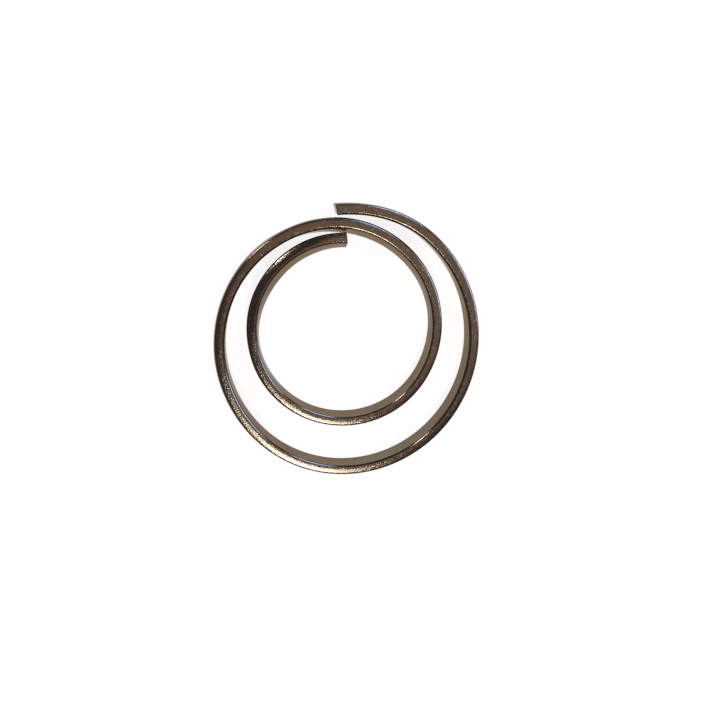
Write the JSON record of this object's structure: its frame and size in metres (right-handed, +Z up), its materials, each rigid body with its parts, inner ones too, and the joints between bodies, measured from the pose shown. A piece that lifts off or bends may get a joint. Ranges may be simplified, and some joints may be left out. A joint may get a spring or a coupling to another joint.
{
  "type": "split key ring",
  "caption": "Flat two-turn spiral of rounded rectangular spring wire; either free end pries up or sideways to thread a key.",
  "frame": {"origin": "middle of the ring's box in plan, on its underside", "axes": "+Z up through the ring, across the thickness of the wire; +Y towards the two free ends; +X to the side that the outer free end springs from"},
  "size_m": [0.0336, 0.0354, 0.0029],
  "materials": {
    "wire_plating": "antique bronze plating, finely grained on the flats and smooth on the rounded edges"
  },
  "bodies": {
    "ring_body": {"outer_turn_bottom": "wire_plating", "outer_turn_left": "wire_plating", "outer_turn_top": "wire_plating", "crossing": "wire_plating", "inner_turn_right": "wire_plating", "inner_turn_bottom_right": "wire_plating", "inner_turn_bottom_left": "wire_plating"},
    "outer_end_link_5": {"outer_end_link_5": "wire_plating"},
    "outer_end_link_4": {"outer_end_link_4": "wire_plating"},
    "outer_end_link_3": {"outer_end_link_3": "wire_plating"},
    "outer_end_link_2": {"outer_end_link_2": "wire_plating"},
    "outer_end_link_1": {"outer_end_link_1": "wire_plating"},
    "outer_end_tip": {"outer_end_tip": "wire_plating"},
    "inner_end_link_4": {"inner_end_link_4": "wire_plating"},
    "inner_end_link_3": {"inner_end_link_3": "wire_plating"},
    "inner_end_link_2": {"inner_end_link_2": "wire_plating"},
    "inner_end_link_1": {"inner_end_link_1": "wire_plating"},
    "inner_end_tip": {"inner_end_tip": "wire_plating"}
  },
  "joints": [
    {"name": "outer_spread_1", "type": "hinge", "parent": "ring_body", "child": "outer_end_link_5", "pos_m": [-0.00191, -0.01685, 0.0014], "axis": [0, 0, -1], "range_deg": [0, 5], "stiffness_Nm_per_rad": 21},
    {"name": "outer_lift_1", "type": "hinge", "parent": "outer_end_link_5", "child": "outer_end_link_4", "pos_m": [0.00698, -0.01527, 0.0014], "axis": [0.4909, -0.8712, 0], "range_deg": [0, 4], "stiffness_Nm_per_rad": 34},
    {"name": "outer_spread_2", "type": "hinge", "parent": "outer_end_link_4", "child": "outer_end_link_3", "pos_m": [0.01371, -0.00893, 0.0014], "axis": [0, 0, -1], "range_deg": [0, 5]},
    {"name": "outer_lift_2", "type": "hinge", "parent": "outer_end_link_3", "child": "outer_end_link_2", "pos_m": [0.01613, 0.00001, 0.0014], "axis": [0.9999, -0.0105, 0], "range_deg": [0, 4]},
    {"name": "outer_spread_3", "type": "hinge", "parent": "outer_end_link_2", "child": "outer_end_link_1", "pos_m": [0.01376, 0.00893, 0.0014], "axis": [0, 0, -1], "range_deg": [0, 5]},
    {"name": "outer_lift_3", "type": "hinge", "parent": "outer_end_link_1", "child": "outer_end_tip", "pos_m": [0.0072, 0.01531, 0.0014], "axis": [0.509, 0.8607, 0], "range_deg": [0, 4]},
    {"name": "inner_lift_1", "type": "hinge", "parent": "ring_body", "child": "inner_end_link_4", "pos_m": [-0.00747, -0.00751, 0.0014], "axis": [0.5962, 0.8028, 0], "range_deg": [0, 3], "stiffness_Nm_per_rad": 46},
    {"name": "inner_spread_1", "type": "hinge", "parent": "inner_end_link_4", "child": "inner_end_link_3", "pos_m": [-0.01069, -0.00367, 0.0014], "axis": [0, 0, -1], "range_deg": [0, 4], "stiffness_Nm_per_rad": 20},
    {"name": "inner_lift_2", "type": "hinge", "parent": "inner_end_link_3", "child": "inner_end_link_2", "pos_m": [-0.01201, 0.00139, 0.00142], "axis": [0.9934, -0.1149, 0], "range_deg": [0, 3]},
    {"name": "inner_spread_2", "type": "hinge", "parent": "inner_end_link_2", "child": "inner_end_link_1", "pos_m": [-0.01073, 0.00688, 0.00147], "axis": [0, 0, -1], "range_deg": [0, 4]},
    {"name": "inner_lift_3", "type": "hinge", "parent": "inner_end_link_1", "child": "inner_end_tip", "pos_m": [-0.0066, 0.01145, 0.00147], "axis": [0.3971, -0.9178, 0], "range_deg": [0, 3]}
  ],
  "couplings": [
    {"joint": "outer_spread_2", "follows": "outer_spread_1", "ratio": 1},
    {"joint": "outer_lift_2", "follows": "outer_lift_1", "ratio": 1},
    {"joint": "outer_spread_3", "follows": "outer_spread_1", "ratio": 1},
    {"joint": "outer_lift_3", "follows": "outer_lift_1", "ratio": 1},
    {"joint": "inner_lift_2", "follows": "inner_lift_1", "ratio": 1},
    {"joint": "inner_spread_2", "follows": "inner_spread_1", "ratio": 1},
    {"joint": "inner_lift_3", "follows": "inner_lift_1", "ratio": 1}
  ]
}
